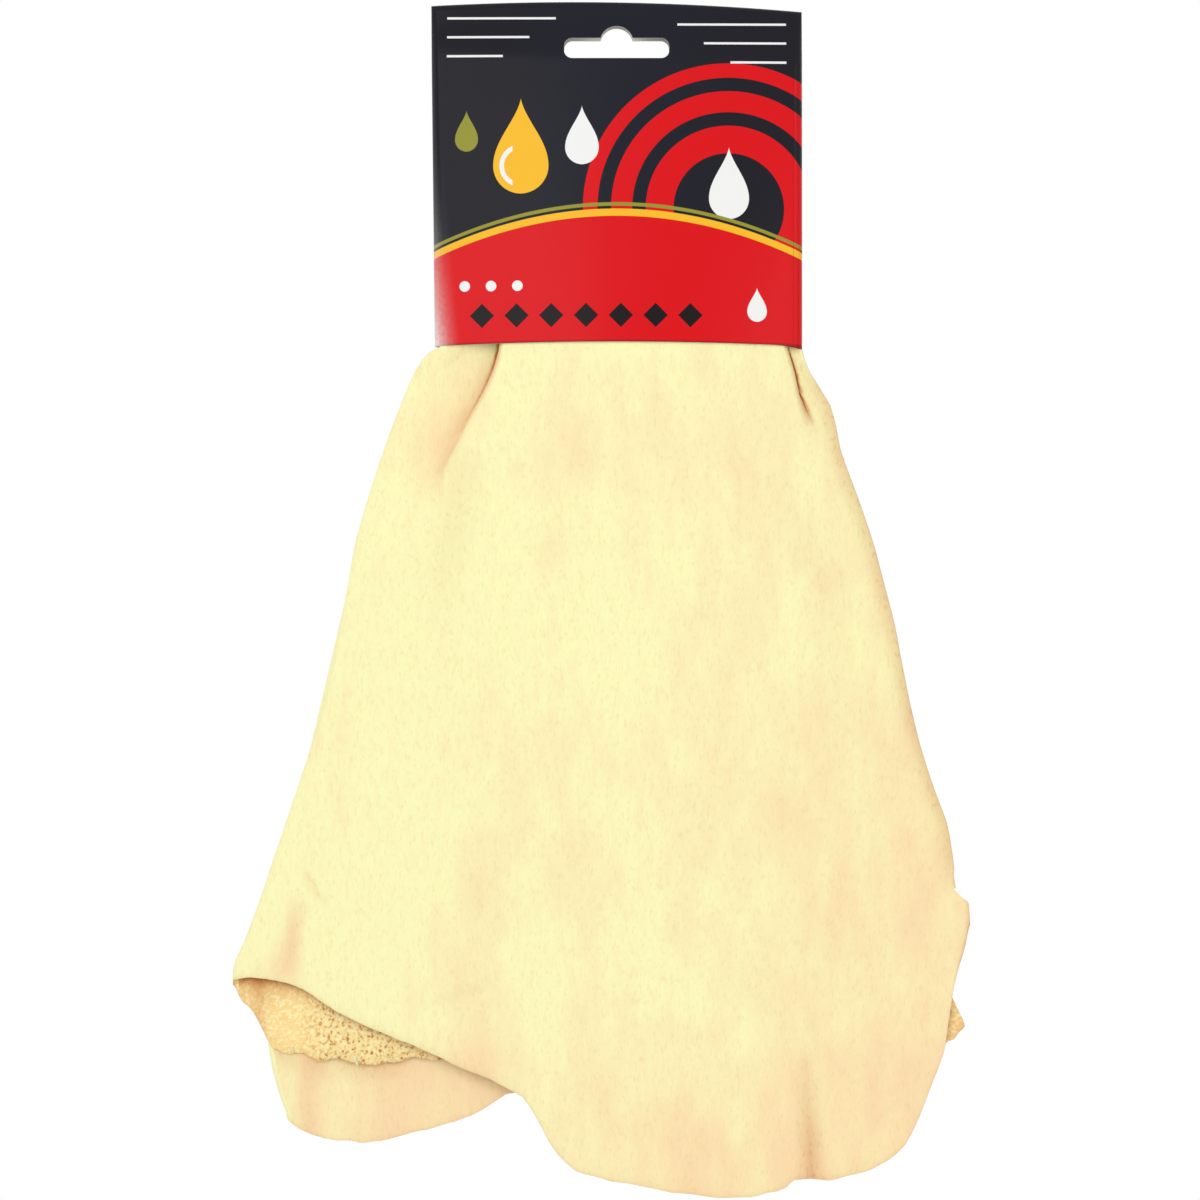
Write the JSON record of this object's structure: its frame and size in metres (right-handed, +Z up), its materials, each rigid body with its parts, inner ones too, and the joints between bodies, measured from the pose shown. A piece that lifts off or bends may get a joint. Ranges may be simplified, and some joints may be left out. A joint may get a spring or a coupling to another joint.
{
  "type": "chamois leather in a hang card",
  "caption": "Natural chamois drying leather, folded in four and gathered into a printed card sleeve with a peg slot; the skin hangs below and pulls out downward.",
  "frame": {"origin": "the top of the hump in the card's peg slot, midway between the panels at the top fold: where a display peg bears", "axes": "+Z up, along the hanging length; +X to the right seen from the printed front; the front faces -Y"},
  "size_m": [0.2226, 0.0165, 0.3623],
  "materials": {
    "printed_board": "gloss coated solid bleached board, printed on the outside, white inside",
    "chamois": "oil tanned, soft fine nap, matte"
  },
  "bodies": {
    "card": {"header_card": "printed_board"},
    "skin": {"chamois_skin": "chamois"}
  },
  "joints": [
    {"name": "skin_slide", "type": "slide", "parent": "card", "child": "skin", "axis": [0, 0, -1], "range_m": [0, 0.09]}
  ]
}
